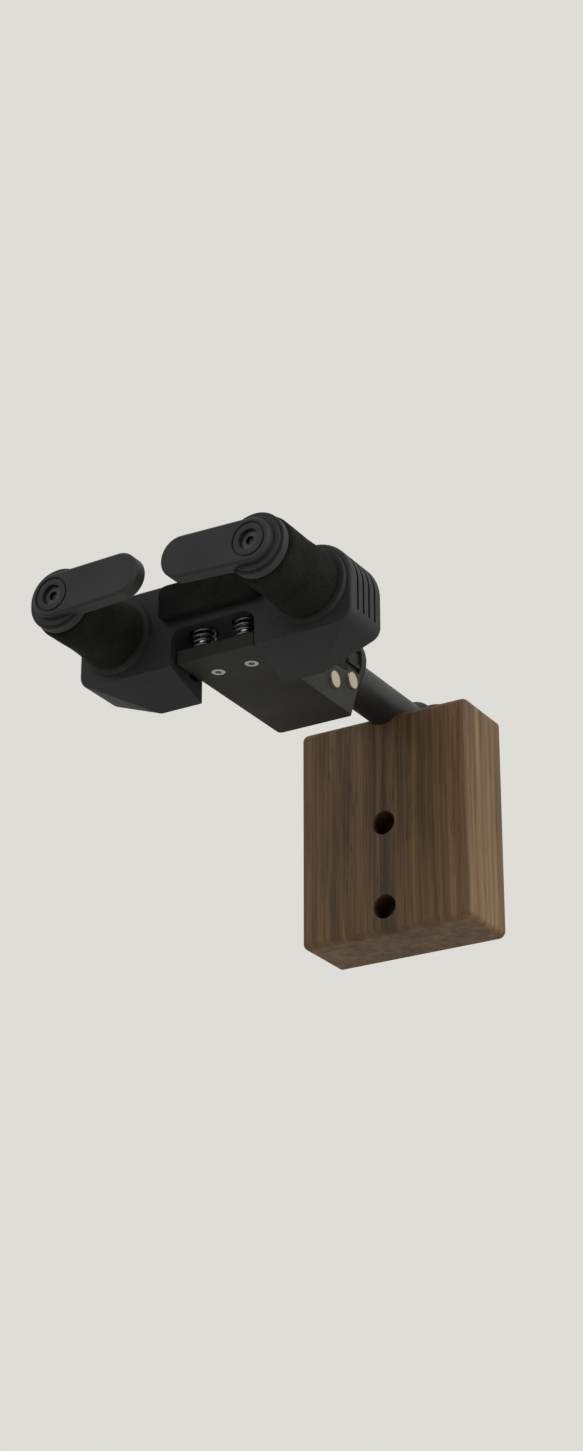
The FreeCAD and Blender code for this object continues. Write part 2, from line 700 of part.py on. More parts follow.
def make_pinion():
    """Pinion on each gate rod, with one tooth pointing straight at the rack."""
    body, sketch_on = new_body("pinion_body")
    reach = ("gear_back", "gear_front")
    core = sketch_on("pinion_core_outline")
    circle(core, "tube_x", "tube_height", f"{PITCH} - gear_module * 1.2")
    circle(core, "tube_x", "tube_height", "rod_tail_radius + 0.01")
    pad(body, core, "pinion_core", *reach)

    half_thickness = f"( gear_module * {math.pi:.8f} / 4 - backlash / 2 )"
    profile = [
        (f"tube_x + {PITCH} - gear_module * 1.25", f"{half_thickness} * 1.02"),
        (f"tube_x + {PITCH}", half_thickness),
        (f"tube_x + {PITCH} + gear_module * 0.9", f"{half_thickness} * 0.46"),
    ]
    points = [(x, f"tube_height - {half}") for x, half in profile]
    points += [(x, f"tube_height + {half}") for x, half in reversed(profile)]
    tooth = sketch_on("pinion_tooth_outline")
    polygon(tooth, points)
    pad(body, tooth, "pinion_tooth", *reach)

    centre_line = sketch_on("pinion_axis", "XY_Plane")
    span = Part.LineSegment(Vector(size("tube_x"), -120, 0), Vector(size("tube_x"), -90, 0))
    centre_line.addGeometry(span, True)
    centre_line.addConstraint(Sketcher.Constraint("Vertical", 0))
    place = centre_line.addConstraint(Sketcher.Constraint("DistanceX", -1, 1, 0, 1, size("tube_x")))
    centre_line.setExpression(f"Constraints[{place}]", in_sheet("tube_x"))
    bind(centre_line, **{".AttachmentOffset.Base.z": "tube_height"})
    doc.recompute()
    teeth = body.newObject("PartDesign::PolarPattern", "pinion_teeth_ring")
    teeth.Originals = [doc.getObject("pinion_tooth")]
    teeth.Axis = (centre_line, ["Axis0"])
    teeth.Angle = 360
    teeth.Occurrences = int(size("pinion_teeth"))
    body.Tip = teeth
    node("right_gate_pinion", body)
    node("left_gate_pinion", mirrored("left_pinion_twin", body))


# ---------------------------------------------------------------- yoke


def yoke_outline(name, reach, inset):
    """The yoke's outer form between two reaches, every side moved in by an inset."""
    side = f"( tube_x + shoulder_radius - {inset} )"
    roof = f"( tube_height + shoulder_radius - {inset} )"
    corner_x = "( tube_x + shoulder_radius - yoke_corner )"
    slope = "( corner_slope * 1 deg )"
    rise = f"( {corner_x} - yoke_flat_x ) * tan{slope} + yoke_corner / cos{slope}"
    corner_z = f"( yoke_low + {rise} )"
    corner_radius = f"( yoke_corner - {inset} )"
    # the flat underside, then a slanted part that meets each corner's round
    lower = [
        (f"( yoke_flat_x - {inset} * tan( corner_slope / 2 * 1 deg ) )", f"yoke_low + {inset}"),
        (
            f"( {corner_x} + {corner_radius} * sin{slope} )",
            f"{corner_z} - {corner_radius} * cos{slope}",
        ),
        (corner_x, corner_z),
    ]
    points = lower + [("0 - " + x, z) for x, z in reversed(lower)]
    middle_z = (corner_z, "tube_height")
    upper_z = ("tube_height - 1", roof)
    parts = [
        prism_out(name + "_lower", points, reach),
        box(name + "_middle", ("0 - " + side, side), reach, middle_z),
        box(name + "_upper", ("0 - tube_x", "tube_x"), reach, upper_z),
    ]
    for hand, sign in HANDS:
        shoulder = f"shoulder_radius - {inset}"
        parts.append(rod_out(f"{name}_{hand}_shoulder", sign + "tube_x", "tube_height", reach, shoulder))
        parts.append(rod_out(f"{name}_{hand}_corner", sign + corner_x, corner_z, reach, corner_radius))
    return fuse(name, *parts)


def underside_wedge(name, lift):
    """The block below the yoke's sloping underside, raised by a lift, to be cut away."""
    angle = math.radians(size("underside_slope"))
    thickness = 14.0
    wedge = doc.addObject("Part::Box", name)
    wedge.Placement = Placement(Vector(), Rotation(Vector(1, 0, 0), -size("underside_slope")))
    front = "( yoke_front + 8 )"
    rise = f"( {front} - yoke_back ) * tan( underside_slope * 1 deg )"
    return bind(
        wedge,
        Length="120",
        Width="34",
        Height=f"{thickness}",
        x="0 - 60",
        y=f"0 - {front} - {thickness * math.sin(angle):.6f}",
        z=f"yoke_low + {rise} + {lift} - {thickness * math.cos(angle):.6f}",
    )


def arch(name, reach, grow):
    """The open arch between the shoulders, grown by a margin, to be cut away."""
    half = f"( arch_half_width + {grow} )"
    top = f"( arch_top + {grow} )"
    crown = "4"
    low = "yoke_low - 10"
    upper_x = f"( {half} - {crown} )"
    parts = [
        box(name + "_lower", ("0 - " + half, half), reach, (low, top + " - " + crown)),
        box(name + "_upper", ("0 - " + upper_x, upper_x), reach, (low, top)),
    ]
    for hand, sign in HANDS:
        crown_name = f"{name}_{hand}_crown"
        parts.append(rod_out(crown_name, sign + upper_x, top + " - " + crown, reach, crown))
    return fuse(name, *parts)


def cover_screw_places():
    """The four rear cover screws: name, X and Z."""
    places = []
    for hand, sign in HANDS:
        places.append((hand + "_upper", sign + "cover_screw_upper_x", "cover_screw_upper_z"))
        places.append((hand + "_lower", sign + "cover_screw_lower_x", "cover_screw_lower_z"))
    return places


def rounded_at(name, source, reach):
    """A form with the edges of its flat face at one reach rounded."""
    rounded = doc.addObject("Part::Fillet", name)
    rounded.Base = source
    doc.recompute()
    rounded.Edges = [
        (index, size("yoke_edge"), size("yoke_edge"))
        for index, edge in enumerate(source.Shape.Edges, start=1)
        if abs(edge.BoundBox.YMax + reach) < 0.01 and abs(edge.BoundBox.YMin + reach) < 0.01
    ]
    return rounded


def shell_openings():
    """What is cut through the front shell: arch, underside, tube, spring, crossbar and screw holes."""
    back = "yoke_back + cover_thickness"
    tools = [
        arch("arch_cut", (back + " - 2", "yoke_front + 2"), "0"),
        underside_wedge("underside_cut", "0"),
    ]
    slot_low = "crossbar_low - travel - 0.7"
    slot_z = (slot_low, "crossbar_top + 0.6")
    slot_reach = (back + " - 1", "gear_front + 0.7")
    near = "arch_half_width - 0.5"
    far = "arch_half_width + yoke_wall + 0.3"
    slot_x = {"left": (f"0 - ( {far} )", f"0 - ( {near} )"), "right": (near, far)}
    for hand, sign in HANDS:
        tube_reach = ("tube_back - 0.05", "yoke_front + 2")
        tube_x = sign + "tube_x"
        tools.append(rod_out(hand + "_tube_hole", tube_x, "tube_height", tube_reach, "tube_radius + 0.03"))
        hole_z = ("arch_top - 2", "arch_top + 4")
        pin_x = sign + "pin_x"
        tools.append(rod_up(hand + "_spring_hole", pin_x, "pin_reach", hole_z, "spring_radius + 0.9"))
        tools.append(box(hand + "_crossbar_slot", slot_x[hand], slot_reach, slot_z))
    screw_reach = (back + " - 1", "yoke_front - 3")
    for name, x, z in cover_screw_places():
        tools.append(rod_out(name + "_boss_hole", x, z, screw_reach, "cover_screw_radius + 0.03"))
    return tools


def side_groove(number):
    """One shallow groove round both outer sides of the yoke."""
    start = f"groove_first + groove_pitch * {number}"
    reach = (start, start + " + groove_width")
    name = f"groove_{number}"
    outside = yoke_outline(name + "_outside", reach, "( 0 - 1 )")
    inside = yoke_outline(name + "_inside", reach, "groove_depth")
    band = cut(name + "_band", outside, inside)
    z = ("groove_low", "tube_height + shoulder_radius - 2.5")
    near = "tube_x + 4"
    sides = [
        box(name + "_left_zone", ("0 - 60", f"0 - ( {near} )"), reach, z),
        box(name + "_right_zone", (near, "60"), reach, z),
    ]
    return common(name, band, fuse(name + "_zones", *sides))


def make_front_shell():
    """Hollow front shell: shoulders, bridge, tube bosses, screw bosses and grooved outer sides."""
    back = "yoke_back + cover_thickness"
    solid = yoke_outline("shell_form", (back, "yoke_front"), "0")
    rounded = rounded_at("shell_rounded", solid, size("yoke_front"))

    cavity = yoke_outline("shell_cavity_form", (back + " - 1", "yoke_front - yoke_wall"), "yoke_wall")
    keep = [
        arch("arch_keep", (back + " - 2", "yoke_front + 1"), "yoke_wall"),
        underside_wedge("underside_keep", "2.3"),
    ]
    for hand, sign in HANDS:
        boss = ("tube_back", "yoke_front")
        x = sign + "tube_x"
        keep.append(rod_out(hand + "_tube_boss", x, "tube_height", boss, "tube_radius + 2.2"))
    for name, x, z in cover_screw_places():
        keep.append(rod_out(name + "_boss", x, z, (back, "yoke_front"), "cover_boss_radius"))
    hollow = cut("shell_cavity", cavity, *keep)
    plain = cut("shell_plain", rounded, hollow, *shell_openings())
    grooves = [side_groove(number) for number in range(int(size("groove_count")))]
    node("yoke_front_shell", cut("shell_grooved", plain, *grooves))


def make_rear_cover():
    """Flat rear cover of the yoke, with blind seats for the rod tails and countersunk screws."""
    back = "yoke_back"
    front = "yoke_back + cover_thickness"
    solid = yoke_outline("cover_form", (back, front), "0")
    rounded = rounded_at("cover_rounded", solid, size("yoke_back"))
    through = (back + " - 1", front + " + 1")
    tools = [arch("cover_arch", through, "0"), underside_wedge("cover_underside", "0")]
    for hand, sign in HANDS:
        seat = ("rod_back - 0.15", front + " + 1")
        x = sign + "tube_x"
        radius = "rod_tail_radius + running_clearance"
        tools.append(rod_out(hand + "_rod_seat", x, "tube_height", seat, radius))
    screws = []
    for name, x, z in cover_screw_places():
        sink = (back + " - 1", back + " + 1.3")
        tools.append(rod_out(name + "_cover_hole", x, z, through, "cover_screw_radius + 0.1"))
        tools.append(rod_out(name + "_cover_sink", x, z, sink, "cover_screw_head + 0.1"))
        head_reach = (back + " + 0.1", back + " + 1.28")
        head = rod_out(name + "_screw_head", x, z, head_reach, "cover_screw_head - 0.1")
        shank_reach = (back + " + 1.2", "yoke_front - 4")
        shank = rod_out(name + "_screw_shank", x, z, shank_reach, "cover_screw_radius")
        socket = rod_out(name + "_screw_socket", x, z, (back, back + " + 0.8"), "0.9")
        screws.append(cut(name + "_screw", fuse(name + "_screw_blank", head, shank), socket))
    node("yoke_rear_cover", cut("cover_cut", rounded, *tools))
    node("cover_screws", group("cover_screw_set", *screws))


def make_slide_block():
    """Centre block inside the bridge, bored for the guide pins, with its two bushings."""
    low = SPRING_SEAT + " + 0.02"
    top = "tube_height + shoulder_radius - yoke_wall - 0.1"
    reach = ("yoke_back + cover_thickness + 0.4", "yoke_front - yoke_wall - 0.05")
    block = box("slide_form", ("0 - 12.8", "12.8"), reach, (low, top))
    through = (low + " - 1", top + " + 1")
    relief_z = (low + " - 1", low + " + 5")
    tools = [box("slide_relief", ("0 - 3", "3"), ("yoke_back", "yoke_front - 6"), relief_z)]
    bushes = []
    for hand, sign in HANDS:
        x = sign + "pin_x"
        tools.append(rod_up(hand + "_bush_bore", x, "pin_reach", through, "pin_radius + 1.22"))
        outside = rod_up(hand + "_bush_outside", x, "pin_reach", (low, top), "pin_radius + 1.2")
        bore = rod_up(hand + "_bush_inside", x, "pin_reach", through, "pin_radius + running_clearance")
        bushes.append(cut(hand + "_guide_bush", outside, bore))
    node("slide_block", cut("slide_cut", block, *tools))
    node("guide_bushings", group("guide_bush_set", *bushes))


def make_arms():
    """Arm tubes, the rod bushings inside them, foam sleeves and the collars behind the foam."""
    z = "tube_height"
    ends = {
        "rear": ("tube_back + 0.1", "tube_back + 5"),
        "front": ("tube_front - 6", "tube_front - 0.1"),
    }
    bushes = []
    for hand, sign in HANDS:
        x = sign + "tube_x"
        tube = ring(hand + "_tube", x, z, ("tube_back", "tube_front"), "tube_radius", "tube_bore")
        node(hand + "_arm_tube", tube)
        for end, reach in ends.items():
            name = f"{hand}_{end}_bush"
            bushes.append(ring(name, x, z, reach, "tube_bore - 0.02", "rod_radius + running_clearance"))
        collar_reach = ("yoke_front + 0.05", "yoke_front + 0.05 + collar_thickness")
        collar = ring(hand + "_collar", x, z, collar_reach, "collar_radius", "tube_radius + 0.05")
        node(hand + "_foam_collar", collar)
        radii = ("foam_back_radius", "foam_front_radius")
        foam = cone_out(hand + "_foam_form", x, z, ("foam_back", "foam_front"), radii)
        core = rod_out(hand + "_foam_bore", x, z, ("foam_back - 1", "foam_front + 1"), "foam_bore")
        node(hand + "_foam_sleeve", cut(hand + "_foam_cut", foam, core))
    node("rod_bushings", group("rod_bush_set", *bushes))


def make_neck_pad():
    """Thin foam pad on the bridge, behind the instrument's neck."""
    half = "pad_half_width"
    reach = ("yoke_front + 0.1", "yoke_front + 0.1 + pad_thickness")
    node("neck_pad", box("neck_pad_form", ("0 - " + half, half), reach, ("pad_low", "pad_top")))


# ---------------------------------------------------------------- gates


def finger_plate(hand):
    """The flat finger pointing along +X from its pivot: hub, blade and tip, bevelled in front."""
    body, sketch_on = new_body(hand + "_finger_body")
    plate = ("finger_plate_back", "finger_front")
    span = "( finger_length - finger_tip_radius )"
    lean = f"( ( finger_hub_radius - finger_tip_radius ) / {span} )"
    spread = f"sqrt(1 - {lean} ^ 2)"
    hub = sketch_on(hand + "_finger_hub_outline")
    circle(hub, "0", "0", "finger_hub_radius")
    pad(body, hub, hand + "_finger_hub", *plate)
    # the blade's sides touch both circles
    near = f"finger_hub_radius * {lean}"
    far = f"{span} + finger_tip_radius * {lean}"
    near_half = f"finger_hub_radius * {spread}"
    far_half = f"finger_tip_radius * {spread}"
    sides = [(near, "0 - " + near_half), (far, "0 - " + far_half), (far, far_half), (near, near_half)]
    blade = sketch_on(hand + "_finger_blade_outline")
    polygon(blade, sides)
    pad(body, blade, hand + "_finger_blade", *plate)
    tip = sketch_on(hand + "_finger_tip_outline")
    circle(tip, span, "0", "finger_tip_radius")
    last = pad(body, tip, hand + "_finger_tip", *plate)
    doc.recompute()
    bevel = body.newObject("PartDesign::Chamfer", hand + "_finger_bevel")
    bevel.Base = (last, faces_at(body.Shape, 1, -size("finger_front")))
    bind(bevel, Size="finger_bevel")
    body.Tip = bevel
    doc.recompute()
    return body


def make_finger(hand, sign, angle):
    """Gate finger with its stepped collar and ring groove, turned to point inward and a little up."""
    disc_reach = ("finger_back", "finger_plate_back + 1")
    disc = rod_out(hand + "_finger_collar", "0", "0", disc_reach, "finger_collar_radius")
    step_reach = ("finger_plate_back + 1", "finger_plate_back + 2.2")
    step = rod_out(hand + "_finger_step", "0", "0", step_reach, "finger_collar_radius - 0.9")
    groove_reach = ("finger_front - 0.45", "finger_front + 1")
    groove = ring(hand + "_finger_groove", "0", "0", groove_reach, "5.2", "4.6")
    bore_reach = ("finger_back - 1", "finger_front + 1")
    bore = rod_out(hand + "_finger_bore", "0", "0", bore_reach, "rod_radius + 0.02")
    blank = fuse(hand + "_finger_solid", finger_plate(hand), disc, step)
    finger = cut(hand + "_finger_cut", blank, groove, bore)
    finger.Placement = Placement(Vector(), Rotation(Vector(0, 1, 0), angle))
    bind(finger, x=sign + "tube_x", z="tube_height")
    node(hand + "_gate_finger", finger)


def make_gates():
    """Finger, rod, pinion clip and cap screw of each gate."""
    # a turn about Y by a negative angle lifts a tip that points along +X, as the left one does
    turns = {"left": -size("finger_tilt"), "right": 180 + size("finger_tilt")}
    z = "tube_height"
    for hand, sign in HANDS:
        x = sign + "tube_x"
        make_finger(hand, sign, turns[hand])
        main = rod_out(hand + "_rod_main", x, z, ("rod_tail_front", "rod_front"), "rod_radius")
        tail = rod_out(hand + "_rod_tail", x, z, ("rod_back", "rod_tail_front + 1"), "rod_tail_radius")
        thread = rod_out(hand + "_rod_thread", x, z, ("rod_front - 9", "rod_front + 1"), "1.27")
        node(hand + "_gate_rod", cut(hand + "_rod_cut", fuse(hand + "_rod_blank", main, tail), thread))
        clip_reach = ("gear_front + 0.3", "gear_front + 0.9")
        clip = ring(hand + "_clip", x, z, clip_reach, "rod_tail_radius + 1.9", "rod_tail_radius + 0.01")
        node(hand + "_rod_clip", clip)
        head_reach = ("rod_front + 0.05", "rod_front + 1.9")
        head = rod_out(hand + "_cap_head", x, z, head_reach, "cap_radius")
        shank = rod_out(hand + "_cap_shank", x, z, ("rod_front - 7", "rod_front + 0.1"), "1.25")
        socket = rod_out(hand + "_cap_socket", x, z, ("rod_front + 0.9", "rod_front + 3"), "1.3")
        node(hand + "_cap_screw", cut(hand + "_cap_cut", fuse(hand + "_cap_blank", head, shank), socket))


def check_and_export():
    """Stops on any failed object or bad shape, then writes one STEP file for each sub-part."""
    doc.recompute()
    failed = [item.Name for item in doc.Objects if "Invalid" in item.State or "Error" in item.State]
    if failed:
        raise RuntimeError("failed objects: " + ", ".join(failed))
    for item in nodes:
        shape = item.Shape
        if shape.isNull() or not shape.isValid() or not shape.Solids:
            raise RuntimeError("bad shape: " + item.Label)
    os.makedirs("parts", exist_ok=True)
    for item in nodes:
        item.Shape.exportStep(f"parts/{item.Label}.step")
        print(f"{item.Label:24s} {len(item.Shape.Solids)} solid(s) {item.Shape.Volume:10.1f} mm3")


make_base()
make_plate()
make_plate_screws()
make_arm()
make_swivel_hardware()
make_holder()
make_holder_rivets()
make_guides()
make_crossbar()
make_racks()
make_pinion()
make_front_shell()
make_rear_cover()
make_slide_block()
make_arms()
make_neck_pad()
make_gates()
check_and_export()
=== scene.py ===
"""Looks of the wall guitar hanger: procedural materials, foam parts, light and camera.

All positions are in metres in the frame's own axes: +X right seen from the front, +Z up,
-Y out from the wall.
"""

import json
import math

import bmesh
import bpy
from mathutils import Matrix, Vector, noise


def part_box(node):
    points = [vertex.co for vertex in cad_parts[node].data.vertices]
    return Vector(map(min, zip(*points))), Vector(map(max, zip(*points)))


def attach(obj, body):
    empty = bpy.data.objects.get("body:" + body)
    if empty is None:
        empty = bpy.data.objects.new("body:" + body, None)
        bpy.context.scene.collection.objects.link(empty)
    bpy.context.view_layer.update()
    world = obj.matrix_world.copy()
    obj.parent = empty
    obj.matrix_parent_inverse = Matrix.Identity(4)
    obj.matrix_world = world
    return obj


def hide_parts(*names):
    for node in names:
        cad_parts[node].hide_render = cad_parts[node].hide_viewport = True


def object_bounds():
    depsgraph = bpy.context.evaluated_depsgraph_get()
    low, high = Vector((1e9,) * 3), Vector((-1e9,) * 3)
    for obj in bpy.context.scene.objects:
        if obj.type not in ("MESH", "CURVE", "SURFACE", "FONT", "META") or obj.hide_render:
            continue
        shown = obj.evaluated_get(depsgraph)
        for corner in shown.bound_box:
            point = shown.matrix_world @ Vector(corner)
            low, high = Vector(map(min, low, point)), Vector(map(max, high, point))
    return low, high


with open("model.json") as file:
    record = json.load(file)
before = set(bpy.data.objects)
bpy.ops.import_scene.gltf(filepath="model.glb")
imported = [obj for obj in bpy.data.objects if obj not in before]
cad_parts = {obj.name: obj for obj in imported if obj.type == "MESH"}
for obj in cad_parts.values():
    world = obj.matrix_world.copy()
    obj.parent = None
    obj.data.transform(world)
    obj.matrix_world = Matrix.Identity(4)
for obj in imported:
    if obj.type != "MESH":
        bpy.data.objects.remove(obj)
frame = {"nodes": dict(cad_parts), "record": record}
cad_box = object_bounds()
nodes = frame["nodes"]
MM = 0.001
# the walnut block's two wall screw holes: how far apart they are, how far the painted shade inside
# them may reach from their middles, and how far the block's front stands out from the wall
HOLE_SPACING = 27.0 * MM
HOLE_EDGE = 4.0 * MM
BLOCK_REACH = -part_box("wood_base")[0].y


# ---------------------------------------------------------------- material kit


class Graph:
    """A material's node tree, with short ways to add and join nodes."""

    def __init__(self, name):
        self.material = bpy.data.materials.new(name)
        self.material.use_nodes = True
        self.tree = self.material.node_tree
        self.shader = self.tree.nodes["Principled BSDF"]
        coords = self.tree.nodes.new("ShaderNodeTexCoord")
        self.place = coords.outputs["Object"]
        self.normal = coords.outputs["Normal"]

    def link(self, source, target):
        self.tree.links.new(source, target)

    def put(self, socket, value):
        if isinstance(value, bpy.types.NodeSocket):
            self.link(value, socket)
        else:
            socket.default_value = value

    def math(self, operation, a, b=0.0):
        made = self.tree.nodes.new("ShaderNodeMath")
        made.operation = operation
        self.put(made.inputs[0], a)
        self.put(made.inputs[1], b)
        return made.outputs[0]

    def split(self, vector):
        """The X, Y and Z outputs of a vector."""
        made = self.tree.nodes.new("ShaderNodeSeparateXYZ")
        self.link(vector, made.inputs[0])
        return made.outputs

    def scaled(self, x, y, z, move=(0, 0, 0), start=None):
        """Coordinates multiplied along each axis (per metre), the object's own unless stated."""
        made = self.tree.nodes.new("ShaderNodeMapping")
        self.link(self.place if start is None else start, made.inputs["Vector"])
        made.inputs["Scale"].default_value = (x, y, z)
        made.inputs["Location"].default_value = move
        return made.outputs[0]

    def even(self, per_metre, move=(0, 0, 0)):
        """The object's own coordinates, multiplied alike along all three axes."""
        return self.scaled(per_metre, per_metre, per_metre, move)

    def noise(self, vector, detail=3.0, roughness=0.55):
        made = self.tree.nodes.new("ShaderNodeTexNoise")
        self.put(made.inputs["Vector"], vector)
        for name, value in (("Scale", 1.0), ("Detail", detail), ("Roughness", roughness)):
            made.inputs[name].default_value = value
        return made.outputs["Fac"]

    def cells(self, vector):
        """Distance to the middle of the nearest of many scattered cells."""
        made = self.tree.nodes.new("ShaderNodeTexVoronoi")
        self.put(made.inputs["Vector"], vector)
        made.inputs["Scale"].default_value = 1.0
        return made.outputs["Distance"]

    def ramp(self, fac, *stops):
        """Colours at given values of the factor, blended in between."""
        made = self.tree.nodes.new("ShaderNodeValToRGB")
        self.put(made.inputs["Fac"], fac)
        elements = made.color_ramp.elements
        while len(elements) < len(stops):
            elements.new(0.5)
        for element, (at, value) in zip(elements, stops):
            element.position = at
            element.color = (*value, 1)
        return made.outputs["Color"]

    def span(self, value, low, high, to_low, to_high):
        """Carries low..high over to to_low..to_high, and holds the ends outside it."""
        made = self.tree.nodes.new("ShaderNodeMapRange")
        self.put(made.inputs["Value"], value)
        for name, number in (
            ("From Min", low), ("From Max", high), ("To Min", to_low), ("To Max", to_high),
        ):
            made.inputs[name].default_value = number
        return made.outputs["Result"]

    def mix(self, fac, a, b):
        """Blends two colours, each a triple or a node's output."""
        made = self.tree.nodes.new("ShaderNodeMix")
        made.data_type = "RGBA"
        self.put(made.inputs["Factor"], fac)
        # sockets 6 and 7 are this node's two colours, and output 2 is its colour result
        for socket, value in ((6, a), (7, b)):
            is_socket = isinstance(value, bpy.types.NodeSocket)
            self.put(made.inputs[socket], value if is_socket else (*value, 1))
        return made.outputs[2]

    def bump(self, height, distance, strength):
        made = self.tree.nodes.new("ShaderNodeBump")
        self.put(made.inputs["Height"], height)
        made.inputs["Distance"].default_value = distance
        made.inputs["Strength"].default_value = strength
        return made.outputs["Normal"]

    def finish(self, colour, roughness, normal=None, **constants):
        """Connects the shader; the constants are set on its sockets by name."""
        self.put(self.shader.inputs["Base Color"], colour)
        self.put(self.shader.inputs["Roughness"], roughness)
        if normal is not None:
            self.link(normal, self.shader.inputs["Normal"])
        for name, value in constants.items():
            self.shader.inputs[name.replace("_", " ")].default_value = value
        return self.material


def srgb(r, g, b):
    """A colour given as 0-255 display values, as the linear values that shaders take."""

    def linear(level):
        return level / 12.92 if level <= 0.04045 else ((level + 0.055) / 1.055) ** 2.4

    return tuple(linear(value / 255) for value in (r, g, b))


# ---------------------------------------------------------------- materials


def bored(g, x, z):
    """1 within the two wall screw holes of the block, 0 elsewhere."""
    found = 0.0
    for hole in (-HOLE_SPACING / 2, HOLE_SPACING / 2):
        up = g.math("ABSOLUTE", g.math("SUBTRACT", z, hole))
        square = g.math("ADD", g.math("POWER", x, 2.0), g.math("POWER", up, 2.0))
        found = g.math("ADD", found, g.math("LESS_THAN", square, HOLE_EDGE ** 2))
    return found


def walnut():
    """Oiled walnut: upright streaks, a dark heart, fine pores and a satin surface."""
    g = Graph("walnut")
    # the grain wanders a little to the side on its way up
    sway = g.span(g.noise(g.scaled(14, 14, 9), 2.0), 0.0, 1.0, -1.6 * MM, 1.6 * MM)
    bent = g.tree.nodes.new("ShaderNodeVectorMath")
    g.link(g.place, bent.inputs[0])
    g.link(sway, bent.inputs[1])
    grain = bent.outputs[0]
    # streaks at three widths: broad bands of tone, growth lines, and fine fibre
    broad = g.noise(g.scaled(85, 85, 4, (3.1, 0.4, 0.0), grain), 2.0, 0.5)
    streaks = g.noise(g.scaled(330, 330, 8, start=grain))
    fibre = g.noise(g.scaled(1300, 1300, 34, (0.2, 0.9, 0.1), grain), 3.0, 0.6)
    tone = g.math("ADD", g.math("MULTIPLY", broad, 0.32), g.math("MULTIPLY", streaks, 0.40))
    tone = g.math("ADD", tone, g.math("MULTIPLY", fibre, 0.28))
    # the board was sawn across the heart: darkest down its middle, paler towards both sides
    off_centre = g.math("ABSOLUTE", g.split(grain)["X"])
    tone = g.math("ADD", tone, g.span(off_centre, 2 * MM, 27 * MM, -0.03, 0.035))
    colour = g.ramp(
        tone,
        (0.36, srgb(46, 32, 18)),
        (0.46, srgb(71, 52, 32)),
        (0.54, srgb(91, 68, 44)),
        (0.65, srgb(115, 90, 61)),
    )
    # pores: short dark dashes along the grain, in patches
    pores = g.cells(g.scaled(1500, 1500, 95))
    patch = g.span(g.noise(g.scaled(260, 260, 22), 2.0), 0.42, 0.60, 0.0, 1.0)
    open_pore = g.math("MULTIPLY", g.span(pores, 0.10, 0.30, 1.0, 0.0), patch)
    colour = g.mix(g.math("MULTIPLY", open_pore, 0.75), colour, srgb(30, 21, 13))
    # one thin dark line that runs down through the screw holes
    x, y, z = g.split(g.place)
    bend = g.span(g.noise(g.scaled(1, 1, 30), 2.0), 0.0, 1.0, -0.9 * MM, 0.9 * MM)
    across = g.math("ABSOLUTE", g.math("SUBTRACT", g.math("ADD", x, bend), 0.2 * MM))
    line = g.span(across, 0.05 * MM, 0.55 * MM, 0.5, 0.0)
    colour = g.mix(line, colour, srgb(34, 24, 15))
    # painted shade inside the drilled holes, which fades in over the first 1.5 mm of their depth
    # and leaves the block's back alone
    deep = g.span(y, -BLOCK_REACH, -BLOCK_REACH + 1.5 * MM, 0.0, 0.85)
    deep = g.math("MULTIPLY", deep, g.math("LESS_THAN", y, -0.2 * MM))
    colour = g.mix(g.math("MULTIPLY", bored(g, x, z), deep), colour, srgb(14, 10, 7))
    # the faces that look up and down are blended towards one even tone: partly the end grain's own
    # tone, whose figure is fainter than the faces' figure, and partly painted shade on the
    # underside
    facing = g.math("ABSOLUTE", g.split(g.normal)["Z"])
    colour = g.mix(g.span(facing, 0.3, 0.9, 0.0, 0.45), colour, srgb(88, 62, 36))
    rough = g.span(streaks, 0.3, 0.7, 0.62, 0.48)
    height = g.math("SUBTRACT", g.math("MULTIPLY", fibre, 0.5), open_pore)
    return g.finish(colour, rough, g.bump(height, 0.12 * MM, 0.5), Specular_IOR_Level=0.28)


def moulded(name, shade, grain, depth, specular, rough=(0.56, 0.70)):
    """Moulded black plastic: a fine spark-eroded texture, faint flow marks, rubbed high spots.

    The grain is the texture's width and the depth its height, both in millimetres.
    """
    g = Graph(name)
    per_metre = 1000 / grain
    fine = g.noise(g.even(per_metre), 2.0, 0.6)
    pits = g.cells(g.even(per_metre * 0.8))
    wide = g.noise(g.even(38, (0.3, 1.7, 0.9)))
    dark, light, rubbed = (tuple(v * factor for v in shade) for factor in (0.80, 1.30, 1.5))
    speck = g.mix(g.span(fine, 0.35, 0.68, 0.0, 1.0), dark, light)
    colour = g.mix(g.span(wide, 0.35, 0.70, 0.0, 0.35), speck, rubbed)
    roughness = g.span(wide, 0.3, 0.7, rough[1], rough[0])
    height = g.math("ADD", g.math("MULTIPLY", fine, 0.7), g.math("MULTIPLY", pits, 0.5))
    normal = g.bump(height, depth * MM, 0.9)
    return g.finish(colour, roughness, normal, Specular_IOR_Level=specular)


def powder_coat():
    """Black powder coat on steel: soft orange peel and a few rubbed specks."""
    g = Graph("black_steel")
    peel = g.noise(g.even(900), 2.0, 0.5)
    fine = g.noise(g.even(4200), 2.0, 0.6)
    wide = g.noise(g.even(60))
    colour = g.mix(g.span(fine, 0.35, 0.7, 0.0, 1.0), srgb(17, 18, 17), srgb(30, 31, 29))
    rough = g.span(wide, 0.3, 0.7, 0.40, 0.54)
    height = g.math("ADD", g.math("MULTIPLY", peel, 0.7), g.math("MULTIPLY", fine, 0.3))
    return g.finish(colour, rough, g.bump(height, 0.06 * MM, 0.7), Specular_IOR_Level=0.42)


